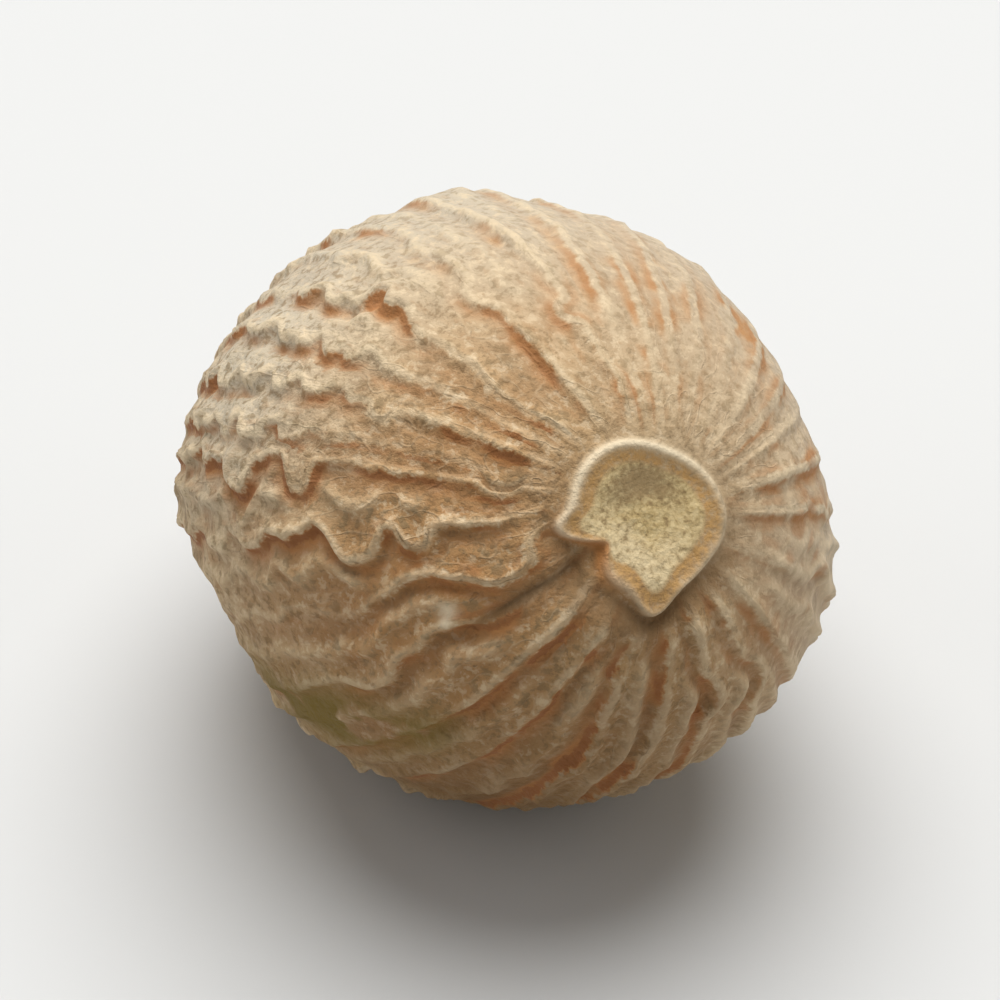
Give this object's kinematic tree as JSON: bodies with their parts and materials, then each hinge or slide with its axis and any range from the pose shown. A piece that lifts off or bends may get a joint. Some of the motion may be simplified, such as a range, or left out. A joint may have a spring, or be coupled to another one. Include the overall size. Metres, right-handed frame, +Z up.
{
  "type": "whole nutmeg",
  "caption": "Whole dried nutmeg: an egg-shaped wrinkled seed with a raised ring round the scar at its blunt end, a seam ridge beside it and a small flat spot to rest on.",
  "frame": {"origin": "middle of the bounding box's underside, on the flat spot that the nutmeg rests on", "axes": "+Z up; the scar at the blunt end faces forwards and up, towards -Y and +Z, and a little towards +X"},
  "size_m": [0.0226, 0.0238, 0.0226],
  "materials": {
    "seed_coat": "dry and matt, wrinkled seed coat"
  },
  "bodies": {
    "root": {"nutmeg": "seed_coat"}
  },
  "joints": []
}
